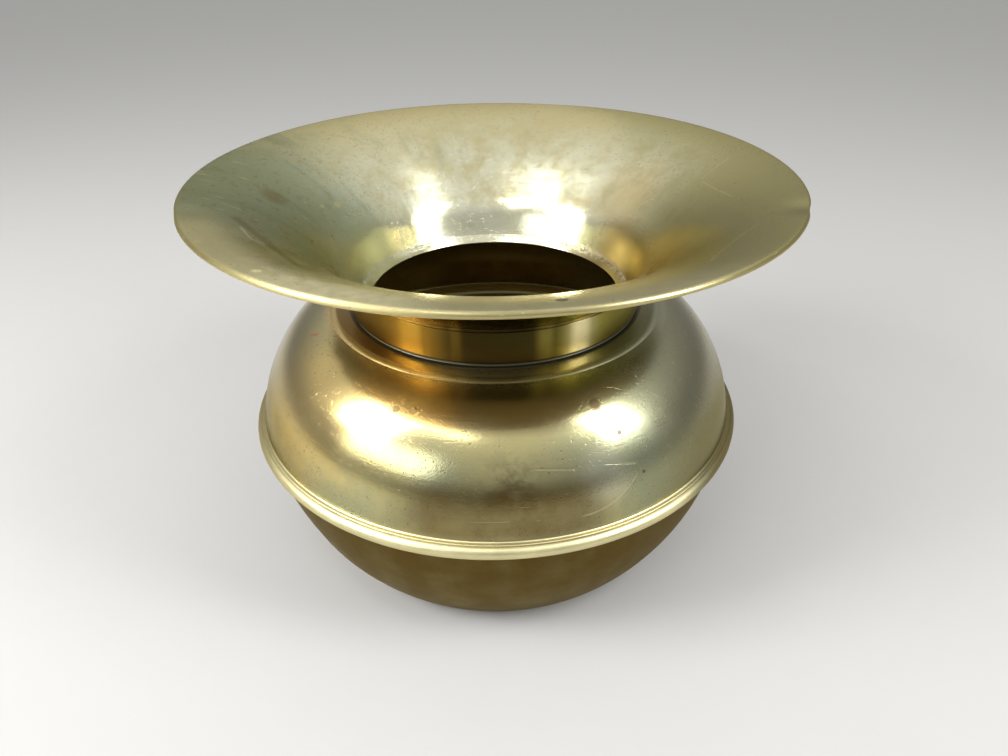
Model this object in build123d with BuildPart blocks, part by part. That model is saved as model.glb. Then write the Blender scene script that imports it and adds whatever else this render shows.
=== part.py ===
from build123d import *
import os
from math import cos, radians, sin, sqrt, tan

# Spun brass spittoon, in millimetres. +Z is up, and the origin is the centre of the base on the floor.
# Two spun shells meet at a beaded waist and make the bowl. The flared mouth, with the neck sleeve
# soldered under it, lifts straight up off the collar that stands on the shoulder.

# Sheet and fits
sheet = 0.8  # brass sheet of every spun piece
slip_clearance = 0.3  # room between the neck sleeve and the collar inside it
seat_clearance = 0.3  # room between the throat wall and the collar that carries it, square to the wall
lap_clearance = 0.2  # room between the bowl's lip and the shoulder's skirt outside it
wire_clearance = 0.2  # room round the wire in the rolled rim
seam_clearance = 0.15  # room between the bend and what is soldered under it

# Lower bowl
foot_radius = 87.5  # where the flat foot ends and the wall turns up
foot_width = 14.0  # flat ring that the bowl stands on
recess_height = 2.0  # the middle of the base is raised, so that only the ring touches
recess_slope_width = 4.0  # width of the slope between the ring and the raised middle
base_corner_radius = 6.0
base_corner_turn = 49.0  # degrees from the floor up to the start of the wall
waist_radius = 120.3  # top of the wall, just under the bead
bead_height = 71.9  # middle of the bead above the floor
bead_radius = 3.3  # outside of the half-round bead
bead_reach = 1.6  # how far the bead's centre stands outside the wall
lip_height = 4.8  # lip above the bead, inside the shoulder's skirt

# Shoulder
skirt_lean = 6.0  # degrees that the skirt leans in, where it leaves its edge
skirt_setback = 1.3  # how far the skirt stands inside the bead's centre
skirt_rounding = 1.0  # outside corner between the skirt and its edge
skirt_edge_width = 0.7  # flat edge turned out over the bead
side_radius = 70.0
side_turn = 30.0  # degrees that the side turns in before the crown takes over
ledge_height = 130.0  # flat ledge round the neck, above the floor
ledge_width = 7.1  # from the neck sleeve out to where the ridge starts to round over
ridge_rounding = 5.0
ridge_turn = 45.0  # degrees that the ridge turns down
collar_rounding = 1.0  # corner between the ledge and the collar

# Flared mouth
throat_radius = 62.0  # edge of the throat
throat_rise = 2.5  # edge of the throat above the ledge
throat_lip_width = 3.5  # flatter lip round the throat
throat_lip_rise = 3.0
throat_slope = 68.0  # degrees above level of the steep wall above the throat lip
throat_wall = 16.8  # steep wall, from the throat lip up to the corner of the bend
bend_radius = 25.0  # bend between the steep wall and the flare
flare_slope = 45.0  # degrees above level, where the flare leaves the bend
flare_straight = 21.0  # straight part of the flare, out from the corner of the bend
flare_edge_radius = 137.9  # where the flare runs into the rolled rim
flare_rise = 61.6  # top of the rolled rim above the ledge
rim_wire_thickness = 1.0  # diameter of the wire in the rolled rim
roll_turn = 280.0  # degrees that the rim is rolled under

# Neck sleeve
sleeve_reach = 5.9  # from the throat lip out to the outside of the sleeve
groove_height = 1.6  # open gap between the sleeve's foot and the ledge
solder_leg = 1.0  # how far the solder seam reaches down the sleeve and out under the flare

# Places that two pieces share
bead_centre = waist_radius + bead_reach
bead_bottom = bead_height - bead_radius
bead_top = bead_height + bead_radius
skirt_radius = bead_centre - skirt_setback
lip_radius = skirt_radius - sheet - lap_clearance
throat_edge = Vector(throat_radius, ledge_height + throat_rise)
lip_corner = throat_edge + Vector(throat_lip_width, throat_lip_rise)
flare_edge = Vector(flare_edge_radius, ledge_height + flare_rise)
wall_run = Vector(cos(radians(throat_slope)), sin(radians(throat_slope)))
wall_below = Vector(wall_run.Y, -wall_run.X)
flare_run = Vector(cos(radians(flare_slope)), sin(radians(flare_slope)))
bend_turn = throat_slope - flare_slope
bend_corner = lip_corner + wall_run * throat_wall
bend_start = bend_corner - wall_run * bend_radius * tan(radians(bend_turn / 2))
bend_centre = bend_start + wall_below * bend_radius
flare_start = bend_corner + flare_run * flare_straight
sleeve_radius = lip_corner.X + sleeve_reach
sleeve_inside = sleeve_radius - sheet
sleeve_foot = ledge_height + groove_height
collar_radius = sleeve_inside - slip_clearance


def height_under_wall(radius, clearance):
    """Height of a line that runs under the throat's steep wall, clearance away from it, at a radius."""
    start = lip_corner + wall_below * (sheet + clearance)
    return start.Y + (radius - start.X) * tan(radians(throat_slope))


def point_under_bend(radius):
    """Point under the bend at a radius, with room for the solder film."""
    across = radius - bend_centre.X
    reach = bend_radius - sheet - seam_clearance
    return Vector(radius, bend_centre.Y + sqrt(reach**2 - across**2))


collar_top = height_under_wall(collar_radius - sheet, seat_clearance)

# Lower bowl: recessed base, flared wall, hollow waist bead and the lip that the shoulder fits over
with BuildPart() as lower_bowl:
    with BuildSketch(Plane.XZ):
        with BuildLine():
            ring_inside = foot_radius - foot_width
            Polyline(
                (0, recess_height),
                (ring_inside - recess_slope_width, recess_height),
                (ring_inside, 0),
                (foot_radius, 0),
            )
            corner = JernArc((foot_radius, 0), (1, 0), base_corner_radius, base_corner_turn)
            TangentArc(corner @ 1, (waist_radius, bead_bottom), tangent=corner % 1)
            Line((waist_radius, bead_bottom), (bead_centre, bead_bottom))
            CenterArc((bead_centre, bead_height), bead_radius, -90, 180)
            lip_foot = Vector(lip_radius, bead_top)
            lip_top = lip_foot + Vector(0, lip_height).rotate(Axis.Z, skirt_lean)
            Polyline((bead_centre, bead_top), lip_foot, lip_top)
            offset(amount=sheet, side=Side.LEFT)
        make_face()
    revolve(axis=Axis.Z)

# Shoulder shell: edge turned out over the bead, leaning skirt, crown, ridge, ledge and collar
with BuildPart() as shoulder_shell:
    with BuildSketch(Plane.XZ):
        with BuildLine():
            edge_start = Vector(skirt_radius + skirt_rounding + skirt_edge_width, bead_top + sheet)
            edge_end = edge_start - Vector(skirt_edge_width, 0)
            Line(edge_start, edge_end)
            skirt = JernArc(edge_end, (-1, 0), skirt_rounding, skirt_lean - 90)
            side = JernArc(skirt @ 1, skirt % 1, side_radius, side_turn)
            ridge_start = Vector(sleeve_radius + ledge_width, ledge_height)
            ridge = JernArc(ridge_start, (1, 0), ridge_rounding, -ridge_turn)
            TangentArc(side @ 1, ridge @ 1, tangent=side % 1)
            FilletPolyline(
                ridge_start,
                (collar_radius, ledge_height),
                (collar_radius, collar_top),
                radius=collar_rounding,
            )
            offset(amount=sheet, side=Side.LEFT)
        make_face()
    revolve(axis=Axis.Z)

# Flared mouth: throat lip, steep wall, bend, flare and the rim rolled down and under
with BuildPart() as flared_mouth:
    with BuildSketch(Plane.XZ):
        with BuildLine():
            Polyline(throat_edge, lip_corner, bend_start)
            bend = JernArc(bend_start, wall_run, bend_radius, -bend_turn)
            Line(bend @ 1, flare_start)
            flare = TangentArc(flare_start, flare_edge, tangent=flare_run)
            offset(amount=sheet, side=Side.RIGHT)
        make_face()
        with BuildLine():
            roll_inside = rim_wire_thickness / 2 + wire_clearance
            edge_run = flare % 1
            edge_below = Vector(edge_run.Y, -edge_run.X)
            outer = JernArc(flare @ 1, edge_run, roll_inside + sheet, -roll_turn)
            inner = JernArc(flare @ 1 + edge_below * sheet, edge_run, roll_inside, -roll_turn)
            Line(outer @ 0, inner @ 0)
            Line(outer @ 1, inner @ 1)
        make_face()
    revolve(axis=Axis.Z)

# Rim wire: a round hoop inside the rolled rim
with BuildPart() as rim_wire:
    with BuildSketch(Plane.XZ):
        with Locations(flare @ 1 + edge_below * (sheet + roll_inside)):
            Circle(rim_wire_thickness / 2)
    revolve(axis=Axis.Z)

# Neck sleeve: a straight tube with its upper edge bevelled to the bend
with BuildPart() as neck_sleeve:
    with BuildSketch(Plane.XZ):
        with BuildLine():
            Polyline(
                (sleeve_inside, sleeve_foot),
                (sleeve_radius, sleeve_foot),
                point_under_bend(sleeve_radius),
                point_under_bend(sleeve_inside),
                close=True,
            )
        make_face()
    revolve(axis=Axis.Z)

# Neck solder: the seam run into the corner between the sleeve and the bend
with BuildPart() as neck_solder:
    with BuildSketch(Plane.XZ):
        with BuildLine():
            seam_corner = point_under_bend(sleeve_radius)
            Polyline(
                seam_corner,
                seam_corner - Vector(0, solder_leg),
                point_under_bend(sleeve_radius + solder_leg),
                close=True,
            )
        make_face()
    revolve(axis=Axis.Z)

pieces = {
    "lower_bowl": lower_bowl,
    "shoulder_shell": shoulder_shell,
    "flared_mouth": flared_mouth,
    "rim_wire": rim_wire,
    "neck_sleeve": neck_sleeve,
    "neck_solder": neck_solder,
}
os.makedirs("parts", exist_ok=True)
for name, piece in pieces.items():
    piece.part.label = name
    export_step(piece.part, f"parts/{name}.step")
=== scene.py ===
import math
from typing import NamedTuple

import bpy
import numpy as np
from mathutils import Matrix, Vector


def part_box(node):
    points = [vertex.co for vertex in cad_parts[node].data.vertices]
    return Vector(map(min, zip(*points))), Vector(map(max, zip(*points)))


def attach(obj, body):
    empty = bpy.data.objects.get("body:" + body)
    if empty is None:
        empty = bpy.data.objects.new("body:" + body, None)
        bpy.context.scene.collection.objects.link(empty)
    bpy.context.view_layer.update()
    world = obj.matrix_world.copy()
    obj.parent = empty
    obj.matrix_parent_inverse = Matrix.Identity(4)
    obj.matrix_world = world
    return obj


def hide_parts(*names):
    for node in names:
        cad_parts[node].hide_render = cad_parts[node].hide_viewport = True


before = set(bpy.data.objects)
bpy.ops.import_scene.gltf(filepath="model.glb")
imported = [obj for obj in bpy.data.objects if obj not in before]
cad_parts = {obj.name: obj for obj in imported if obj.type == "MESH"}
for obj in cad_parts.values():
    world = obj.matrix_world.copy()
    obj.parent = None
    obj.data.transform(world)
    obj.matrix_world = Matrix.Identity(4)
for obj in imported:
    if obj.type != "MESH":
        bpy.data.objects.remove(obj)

bl_info = {
    "name": "Aged Brass Spittoon",
    "version": (1, 0, 0),
    "blender": (4, 5, 0),
    "location": "3D View > Sidebar > Spittoon",
    "description": "Dresses the packed spittoon in aged brass, piece by piece, and sets up its studio",
    "category": "Object",
}

MM = 0.001
FULL_TURN = 2.0 * math.pi
SAME_POINT = 1e-6  # distance below which two points are one
CAP_POINTS = 4  # on the half circle that closes the edge of a sheet
LEAST_MITRE = 0.6  # least cosine that a mitred corner of a sheet is worked out with
FLARE_RISE = -1.8  # the inside of the flare faces inward and up

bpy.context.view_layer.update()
bowl_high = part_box("lower_bowl")[1]
shoulder_low, shoulder_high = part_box("shoulder_shell")
mouth_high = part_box("flared_mouth")[1]
sleeve_low, sleeve_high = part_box("neck_sleeve")
wire_low, wire_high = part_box("rim_wire")


def length(name, description, default):
    """A size in metres that the sidebar shows with its unit."""
    return bpy.props.FloatProperty(
        name=name, description=description, default=default, min=0.0, precision=5, unit="LENGTH"
    )


def angle(name, description, default):
    """An angle in radians, given in degrees, that the sidebar shows in degrees."""
    return bpy.props.FloatProperty(
        name=name, description=description, default=math.radians(default), precision=3, subtype="ANGLE"
    )


def colour(name, description, default):
    """A linear colour with a swatch in the sidebar."""
    return bpy.props.FloatVectorProperty(
        name=name, description=description, default=default, min=0.0, max=1.0, size=3, subtype="COLOR"
    )


class SpittoonSizes(bpy.types.PropertyGroup):
    """Sizes of the shells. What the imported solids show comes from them."""

    sheet: length("Sheet", "Thickness of the spun brass", 0.8 * MM)
    edge_rounding: length("Edge rounding", "Radius of the bends that are sharp in the solids", 0.7 * MM)

    foot_radius: length("Foot", "Radius where the flat foot ends", 87.5 * MM)
    foot_width: length("Foot width", "Flat ring that the bowl stands on", 14.0 * MM)
    recess_height: length("Recess", "Height of the raised middle of the base", 2.0 * MM)
    recess_slope: length("Recess slope", "Width of the slope round the raised middle", 4.0 * MM)
    base_rounding: length("Base rounding", "Radius between the foot and the wall", 6.0 * MM)
    wall_start: angle("Wall start", "Slope of the wall where it leaves the base", 49.0)
    bead_radius: length("Bead", "Radius of the half-round waist bead", 3.3 * MM)
    bead_reach: length("Bead reach", "Outside radius of the bead", bowl_high.x)
    bead_top: length("Bead top", "Height of the top of the bead", shoulder_low.z)
    bead_step: length("Bead step", "How far the bead's centre stands outside the wall", 1.6 * MM)
    lip_top: length("Lip top", "Height of the lip inside the shoulder", bowl_high.z)

    skirt_edge: length("Skirt edge", "Outside radius of the shoulder's turned edge", shoulder_high.x)
    skirt_setback: length("Skirt setback", "How far the skirt stands inside the bead's centre", 1.3 * MM)
    skirt_lean: angle("Skirt lean", "How far the skirt leans in", 6.0)
    skirt_rounding: length("Skirt rounding", "Radius between the skirt and its edge", 1.0 * MM)
    lap: length("Lap", "Room between the bowl's lip and the skirt", 0.2 * MM)
    side_radius: length("Side", "Radius of the shoulder's steep side", 70.0 * MM)
    side_turn: angle("Side turn", "How far the side turns in before the crown", 30.0)
    ledge_height: length("Ledge", "Height of the ledge round the neck", 130.0 * MM)
    ledge_width: length("Ledge width", "From the neck out to the ridge", 7.1 * MM)
    ridge_rounding: length("Ridge", "Radius of the ridge", 5.0 * MM)
    ridge_turn: angle("Ridge turn", "How far the ridge turns down", 45.0)
    collar_top: length("Collar top", "Height of the collar inside the neck", shoulder_high.z)
    slip: length("Slip", "Room between the neck and the collar", 0.3 * MM)

    throat_radius: length("Throat", "Radius of the throat's edge", 62.0 * MM)
    throat_height: length("Throat height", "Height of the throat's edge", 132.5 * MM)
    throat_lip_width: length("Throat lip width", "Width of the flatter lip round the throat", 3.5 * MM)
    throat_lip_rise: length("Throat lip rise", "Rise of that lip", 3.0 * MM)
    throat_slope: angle("Throat slope", "Slope of the steep wall above the throat lip", 68.0)
    throat_wall: length("Throat wall", "Steep wall up to the corner of the bend", 16.8 * MM)
    bend_radius: length("Bend", "Radius between the steep wall and the flare", 25.0 * MM)
    flare_slope: angle("Flare slope", "Slope of the flare where it leaves the bend", 45.0)
    flare_straight: length("Flare straight", "Straight part of the flare above the bend", 21.0 * MM)
    flare_edge: length("Flare edge", "Radius where the flare runs into the rim", 137.9 * MM)
    rim_top: length("Rim top", "Height of the rim", mouth_high.z)
    roll_turn: angle("Roll turn", "How far the rim is rolled under", 272.0)
    wire: length("Wire", "Thickness of the wire in the rim", wire_high.z - wire_low.z)
    wire_room: length("Wire room", "Room round the wire", 0.2 * MM)

    neck_radius: length("Neck", "Outside radius of the neck sleeve", sleeve_high.x)
    neck_foot: length("Neck foot", "Height of the foot of the neck sleeve", sleeve_low.z)
    seam_room: length("Seam room", "Solder film between the bend and the neck", 0.15 * MM)
    solder_leg: length("Solder", "How far the solder seam reaches", 1.0 * MM)


class SpittoonFinish(bpy.types.PropertyGroup):
    """Colours of the brass, of what has settled on it, and of the studio. Straw, gold, amber, umber,
    verdigris, film, worn, smoke and grime are also laid on as painted highlights, painted reflections and
    painted shade.
    """

    straw: colour("Straw brass", "Rubbed brass of the flare", (0.62, 0.545, 0.30))
    gold: colour("Old gold", "Rubbed brass of the bowl and behind the neck", (0.57, 0.50, 0.22))
    verdigris: colour("Verdigris", "Grey-green tarnish", (0.30, 0.37, 0.25))
    olive: colour("Olive tarnish", "Greenish tarnish", (0.34, 0.345, 0.205))
    amber: colour("Amber brass", "Warmer, cleaner brass", (0.78, 0.52, 0.15))
    citron: colour("Citron brass", "Greener gold on the right of the neck", (0.50, 0.46, 0.10))
    honey: colour("Honey brass", "Polished brass of the neck and of the ledge below it", (0.36, 0.19, 0.022))
    umber: colour("Umber tarnish", "Dark brown tarnish", (0.16, 0.098, 0.022))
    moss: colour("Moss brass", "Greener gold on the right of the flare", (0.42, 0.385, 0.19))
    film: colour("Film", "Pale film, mostly above the throat", (0.79, 0.79, 0.61))
    worn: colour("Worn brass", "Brass rubbed bright on edges", (0.74, 0.67, 0.39))
    # Smoke is mostly painted dark reflection: on the front of the neck, the seam, the underside by the neck
    # and the lower bowl. On the shoulder's dark spots it is tarnish
    smoke_and_dark_reflection: colour("Smoke", "Blackish tarnish, mostly on the front of the neck", (0.030, 0.021, 0.006))
    # Grime is also painted shade in the recess at the neck's foot
    grime: colour("Grime", "Dirt packed into joints and pits", (0.022, 0.018, 0.010))
    deposit: colour("Deposit", "Grey crust in the corner of the throat", (0.40, 0.39, 0.33))
    copper: colour("Copper", "Where the yellow has been lost", (0.62, 0.26, 0.11))
    solder: colour("Solder", "Yellowed solder under the flare", (0.56, 0.40, 0.13))
    steel: colour("Wire", "Drawn wire in the rim", (0.42, 0.41, 0.39))
    floor: colour("Floor", "Plain pale floor", (0.46, 0.455, 0.445))


# Sections: every path is an array of (radius, height) points


def arc_from(start, heading, radius, turn, steps):
    """Arc that leaves start along heading and turns left by turn degrees (right if negative).

    Its centre lies one radius square to the heading, and the points are centre + radius * (cos, sin) of even
    angles.
    """
    side = math.copysign(1.0, turn)
    ahead = math.radians(heading)
    centre = np.array(start) + radius * side * np.array([-math.sin(ahead), math.cos(ahead)])
    angles = ahead - side * math.pi / 2 + np.linspace(0.0, math.radians(turn), steps + 1)
    return centre + radius * np.column_stack([np.cos(angles), np.sin(angles)])


def arc_to(start, heading, end, steps):
    """Arc that leaves start along heading and ends at end.

    It turns by twice the angle from heading to chord.
    """
    chord = np.array(end) - np.array(start)
    half_turn = math.degrees(math.atan2(chord[1], chord[0])) - heading
    half_turn = (half_turn + 180.0) % 360.0 - 180.0
    radius = np.hypot(*chord) / (2.0 * abs(math.sin(math.radians(half_turn))))
    return arc_from(start, heading, radius, 2.0 * half_turn, steps)


def joined(*runs):
    """One path from several runs of points, without the points that two runs share."""
    points = np.vstack([np.atleast_2d(run) for run in runs])
    steps = np.hypot(*np.diff(points, axis=0).T)
    return points[np.concatenate([[True], steps > SAME_POINT])]


def softened(path, radius, sharpest=14.0, steps=4):
    """The path with an arc in place of every corner that turns by more than sharpest degrees.

    The arc touches both sides of the corner, and takes at most 0.45 of the shorter side.
    """
    runs = [path[:1]]
    for before, corner, after in zip(path[:-2], path[1:-1], path[2:]):
        arrive = (corner - before) / np.hypot(*(corner - before))
        leave = (after - corner) / np.hypot(*(after - corner))
        turn = math.degrees(math.atan2(arrive[0] * leave[1] - arrive[1] * leave[0], arrive @ leave))
        if abs(turn) < sharpest:
            runs.append(corner[None])
            continue
        half_tangent = math.tan(math.radians(abs(turn) / 2.0))
        room = 0.45 * min(np.hypot(*(corner - before)), np.hypot(*(after - corner)))
        bend = min(radius, room / half_tangent)
        heading = math.degrees(math.atan2(arrive[1], arrive[0]))
        runs.append(arc_from(corner - arrive * bend * half_tangent, heading, bend, turn, steps))
    runs.append(path[-1:])
    return np.vstack(runs)


class Section(NamedTuple):
    """Outline of a piece cut through the axis, with the solid on the left of its direction."""

    points: np.ndarray  # (radius, height)
    push: np.ndarray  # direction in which the wall at each point faces the eye
    hidden: np.ndarray  # 0 on the wall that shows, 1 on the other wall
    closed: bool  # False where it starts and ends on the axis


def sheet_section(path, thickness):
    """Section of a bent sheet. path is the wall that shows, and thickness is laid on its left.

    A negative thickness is laid on its right. The other wall is the path moved along its mitred normals,
    and each free end is closed by a half circle.
    """
    along = np.empty_like(path)
    sides = np.diff(path, axis=0)
    sides /= np.hypot(*sides.T)[:, None]
    along[1:-1] = sides[:-1] + sides[1:]
    along[0], along[-1] = sides[0], sides[-1]
    along /= np.hypot(*along.T)[:, None]
    left = np.column_stack([-along[:, 1], along[:, 0]])
    mitre = np.ones(len(path))
    mitre[1:-1] = 1.0 / np.maximum(np.sum(along[1:-1] * sides[:-1], axis=1), LEAST_MITRE)
    other = path + left * (thickness * mitre)[:, None]
    first, second = (path, other) if thickness > 0.0 else (other, path)
    facing = -left * math.copysign(1.0, thickness)
    flags = (0.0, 1.0) if thickness > 0.0 else (1.0, 0.0)

    def end_cap(start, end, outward):
        """Half circle from start to end that bulges along outward."""
        angles = np.linspace(0.0, math.pi, CAP_POINTS + 2)[1:-1, None]
        middle, spoke = (start + end) / 2.0, (start - end) / 2.0
        return middle + spoke * np.cos(angles) + outward * np.hypot(*spoke) * np.sin(angles)

    far_cap = end_cap(first[-1], second[-1], along[-1])
    runs = [first, far_cap, second[::-1]]
    pushes = [facing, np.repeat(facing[-1:], CAP_POINTS, axis=0), facing[::-1]]
    hidden = [np.full(len(path), flags[0]), np.zeros(CAP_POINTS), np.full(len(path), flags[1])]
    closed = path[0, 0] > SAME_POINT
    if closed:
        runs.append(end_cap(second[0], first[0], -along[0]))
        pushes.append(np.repeat(facing[:1], CAP_POINTS, axis=0))
        hidden.append(np.zeros(CAP_POINTS))
    return Section(np.vstack(runs), np.vstack(pushes), np.concatenate(hidden), closed)


def solid_section(corners, rounding):
    """Section of a solid ring from its corners, in order with the solid on the left, with rounded edges."""
    middle = (corners[0] + corners[-1]) / 2.0
    points = softened(np.vstack([middle, corners, middle]), rounding)[:-1]
    outward = points - corners.mean(axis=0)
    outward /= np.hypot(*outward.T)[:, None]
    return Section(points, outward, np.zeros(len(points)), True)


# Surfaces: a section carried round the upright axis


class Dent(NamedTuple):
    """A shallow knock in the sheet: where it is, how wide and how deep, in millimetres and degrees."""

    angle: float
    radius: float
    height: float
    width: float
    depth: float


def at(angle, radius, height):
    """Point in metres from an angle in degrees round the axis and a radius and height in millimetres."""
    turn = math.radians(angle)
    return np.array([radius * math.cos(turn), radius * math.sin(turn), height]) * MM


def carried_round(section, segments, sway=None, dents=()):
    """Surface of two parameters, the angle round the axis and the place on the section.

    A point is (r cos a, r sin a, z). It then moves along the wall's facing direction by sway(a, r, z), and
    back by each dent's depth times exp(-(distance / width) squared). Returns the points as
    [angle, place, xyz].
    """
    angles = np.linspace(0.0, FULL_TURN, segments, endpoint=False)[:, None]
    radius, height = section.points.T
    turned = np.stack(np.broadcast_arrays(np.cos(angles), np.sin(angles), 0.0 * angles + 1.0), axis=-1)
    points = turned * np.stack([radius, radius, height], axis=-1)
    facing = turned * np.stack([section.push[:, 0], section.push[:, 0], section.push[:, 1]], axis=-1)
    shift = np.zeros(points.shape[:2])
    if sway is not None:
        shift += sway(angles, radius, height)
    for dent in dents:
        distance = np.linalg.norm(points - at(dent.angle, dent.radius, dent.height), axis=-1)
        shift -= dent.depth * MM * np.exp(-((distance / (dent.width * MM)) ** 2))
    return points + facing * shift[..., None]


def mesh_from(name, points, section):
    """Mesh of a carried-round section: quads between neighbours, and a fan at each end on the axis."""
    segments, places = points.shape[:2]
    around = np.arange(segments)[:, None]
    following = (around + 1) % segments
    if section.closed:
        here = np.arange(places)[None]
        there = (here + 1) % places
        vertices = points.reshape(-1, 3)
        hidden = np.tile(section.hidden, segments)
        fans = []
    else:
        places -= 2
        here = np.arange(places - 1)[None]
        there = here + 1
        vertices = np.vstack([points[:, 1:-1].reshape(-1, 3), points[0, 0], points[0, -1]])
        hidden = np.append(np.tile(section.hidden[1:-1], segments), section.hidden[[0, -1]])
        first, last = segments * places, segments * places + 1
        ring, after = around[:, 0] * places, following[:, 0] * places
        start_fan = np.column_stack([np.full(segments, first), after, ring])
        end_fan = np.column_stack([np.full(segments, last), ring + places - 1, after + places - 1])
        fans = start_fan.tolist() + end_fan.tolist()
    corners = [
        around * places + here,
        following * places + here,
        following * places + there,
        around * places + there,
    ]
    quads = np.stack(corners, axis=-1).reshape(-1, 4)
    mesh = bpy.data.meshes.new(name)
    mesh.from_pydata(vertices.tolist(), [], quads.tolist() + fans)
    mesh.polygons.foreach_set("use_smooth", np.ones(len(mesh.polygons), dtype=bool))
    wall = mesh.attributes.new("hidden_wall", "FLOAT", "POINT")
    wall.data.foreach_set("value", hidden.astype(np.float32))
    mesh.update()
    return mesh


def place_piece(name, points, section, material, body, node):
    """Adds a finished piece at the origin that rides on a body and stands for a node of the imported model."""
    mesh = mesh_from(name, points, section)
    piece = bpy.data.objects.new(name, mesh)
    bpy.context.collection.objects.link(piece)
    mesh.materials.append(material)
    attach(piece, body)
    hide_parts(node)


# Shader maths


def math_node(operation, swapped=False):
    """A method of Flow that joins it and another value by a Math node, the other first if swapped."""

    def method(self, other):
        first, second = (other, self) if swapped else (self, other)
        return self.add("ShaderNodeMath", {"operation": operation}, {0: first, 1: second})

    return method


class Flow:
    """A node's output socket in a Python expression: arithmetic on values adds Math nodes to its tree."""

    __add__ = __radd__ = math_node("ADD")
    __mul__ = __rmul__ = math_node("MULTIPLY")
    __sub__ = math_node("SUBTRACT")
    __rsub__ = math_node("SUBTRACT", swapped=True)
    __truediv__ = math_node("DIVIDE")
    __pow__ = math_node("POWER")
    at_most = math_node("MINIMUM")
    at_least = math_node("MAXIMUM")

    def __init__(self, tree, socket=None):
        self.tree = tree
        self.socket = socket

    def add(self, kind, settings=None, inputs=None, output=0):
        """Adds a node of a type, makes its settings, then fills its sockets with values or links."""
        node = self.tree.nodes.new(kind)
        for name, value in (settings or {}).items():
            setattr(node, name, value)
        for key, value in (inputs or {}).items():
            if isinstance(value, Flow):
                self.tree.links.new(value.socket, node.inputs[key])
            else:
                node.inputs[key].default_value = value
        return Flow(self.tree, node.outputs[output])

    def __abs__(self):
        return self.add("ShaderNodeMath", {"operation": "ABSOLUTE"}, {0: self})

    def smooth(self, low, high):
        """0 at low, 1 at high and a smooth step between them. low may be the larger."""
        return self.add(
            "ShaderNodeMapRange",
            {"interpolation_type": "SMOOTHSTEP"},
            {"Value": self, "From Min": low, "From Max": high},
        )

    def band(self, low, high, soft):
        """1 between low and high, falling to 0 over soft on each side."""
        return self.smooth(low - soft, low) * self.smooth(high + soft, high)

    def between(self, first, second):
        """The colour first where this value is 0, and second where it is 1."""
        first, second = (paint if isinstance(paint, Flow) else (*paint, 1.0) for paint in (first, second))
        return self.add("ShaderNodeMix", {"data_type": "RGBA"}, {0: self, 6: first, 7: second}, output=2)

    def tint(self, mask, paint):
        """This colour where mask is 0, and paint where it is 1."""
        return mask.between(self, paint)

    def dot(self, direction):
        """How far this vector reaches along a direction."""
        return self.add(
            "ShaderNodeVectorMath", {"operation": "DOT_PRODUCT"}, {0: self, 1: tuple(direction)}, output=1
        )

    def away_from(self, place):
        """Distance of this point from a place."""
        return self.add(
            "ShaderNodeVectorMath", {"operation": "DISTANCE"}, {0: self, 1: tuple(place)}, output=1
        )

    def noise(self, scale, detail=3.0, roughness=0.55, distortion=0.0):
        """Soft noise over this point, about 0 to 1, with scale patches to the metre."""
        inputs = {"Vector": self, "Scale": scale, "Detail": detail, "Roughness": roughness}
        return self.add("ShaderNodeTexNoise", {}, {**inputs, "Distortion": distortion})

    def cells(self, scale):
        """Distance to the nearest of scattered points, in cells of which there are scale to the metre."""
        return self.add("ShaderNodeTexVoronoi", {}, {"Vector": self, "Scale": scale})

    def stretched(self, turn, scale):
        """This point turned by angles in degrees and then scaled, for a pattern with a direction."""
        return self.add(
            "ShaderNodeMapping",
            {"vector_type": "POINT"},
            {"Vector": self, "Rotation": tuple(math.radians(angle) for angle in turn), "Scale": scale},
        )


def most(*flows):
    """The largest of several values at each point."""
    largest = flows[0]
    for flow in flows[1:]:
        largest = largest.at_least(flow)
    return largest


def painted(base, *layers):
    """A colour under layers laid on in order. Each is a mask, how strongly it shows, and its colour."""
    for mask, share, paint in layers:
        base = base.tint(mask * share, paint)
    return base


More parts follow.
